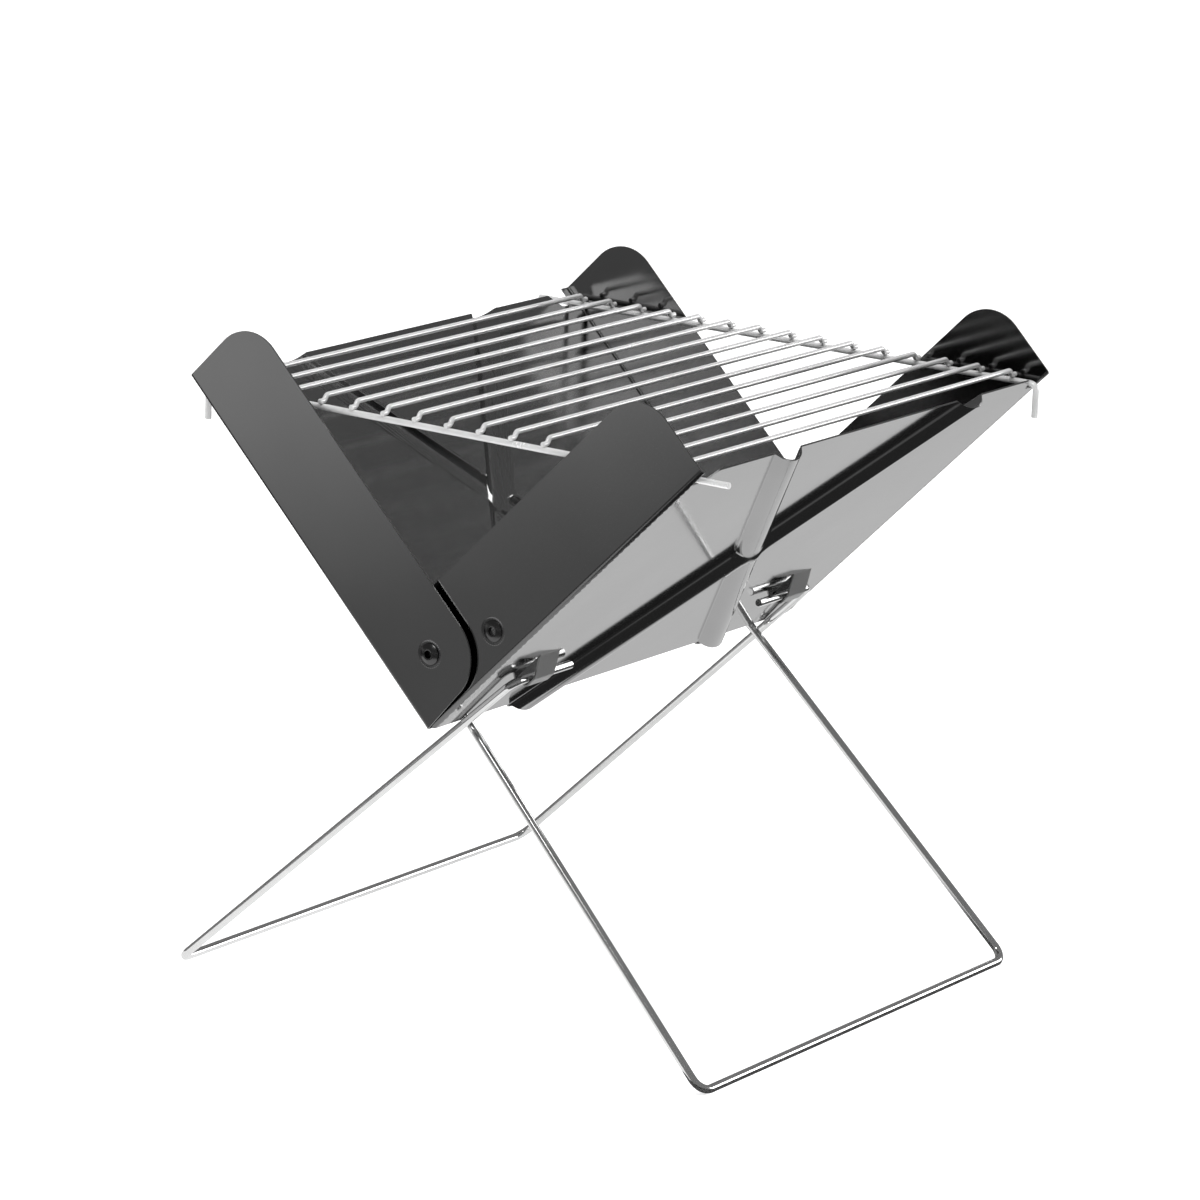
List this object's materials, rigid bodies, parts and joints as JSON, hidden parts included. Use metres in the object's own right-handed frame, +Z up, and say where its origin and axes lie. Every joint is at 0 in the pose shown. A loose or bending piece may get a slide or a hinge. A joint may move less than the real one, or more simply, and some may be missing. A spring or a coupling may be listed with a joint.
{
  "type": "folding camp grill",
  "caption": "Flat-folding camp grill: two bent sheet steel trays riveted into a V, crossed wire leg frames that swing out below, and a loose wire grate over the top.",
  "frame": {"origin": "On the ground, under the fold line of the V and midway along it.", "axes": "+X runs across the V to the inner tray's side, +Y along the fold line, +Z up. The near end with the two visible rivets faces -Y."},
  "size_m": [0.3075, 0.2984, 0.3149],
  "materials": {
    "tray_steel": "satin",
    "rivet_steel": "satin",
    "leg_wire": "polished",
    "grate_wire": "polished"
  },
  "bodies": {
    "inner_tray": {"inner_tray": "tray_steel", "pivot_rivet_near": "rivet_steel", "pivot_rivet_far": "rivet_steel", "pivot_washer_near": "rivet_steel", "pivot_washer_far": "rivet_steel", "guide_rivet_near": "rivet_steel", "guide_rivet_far": "rivet_steel"},
    "outer_tray": {"outer_tray": "tray_steel"},
    "wide_leg": {"wide_leg_frame": "leg_wire"},
    "narrow_leg": {"narrow_leg_frame": "leg_wire"},
    "grate": {"cross_wire_near": "grate_wire", "cross_wire_far": "grate_wire", "bar_01": "grate_wire", "bar_02": "grate_wire", "bar_03": "grate_wire", "bar_04": "grate_wire", "bar_05": "grate_wire", "bar_06": "grate_wire", "bar_07": "grate_wire", "bar_08": "grate_wire", "bar_09": "grate_wire", "bar_10": "grate_wire", "bar_11": "grate_wire", "bar_12": "grate_wire", "bar_13": "grate_wire", "bar_14": "grate_wire", "bar_15": "grate_wire"}
  },
  "joints": [
    {"name": "panel_fold", "type": "hinge", "parent": "inner_tray", "child": "outer_tray", "pos_m": [0, 0, 0.18249], "axis": [0, 1, 0], "range_deg": [0, 90]},
    {"name": "grate_lift", "type": "slide", "parent": "inner_tray", "child": "grate", "axis": [0, 0, 1], "range_m": [0, 0.3456]},
    {"name": "wide_leg_swing", "type": "hinge", "parent": "inner_tray", "child": "wide_leg", "pos_m": [0.02754, 0, 0.16866], "axis": [0, -1, 0], "range_deg": [0, 180.7]},
    {"name": "narrow_leg_swing", "type": "hinge", "parent": "outer_tray", "child": "narrow_leg", "pos_m": [-0.02705, 0, 0.16916], "axis": [0, 1, 0], "range_deg": [0, 180.7]}
  ],
  "couplings": [
    {"joint": "grate_lift", "follows": "panel_fold", "m_per_rad": 0.22},
    {"joint": "narrow_leg_swing", "follows": "wide_leg_swing", "ratio": 1}
  ]
}
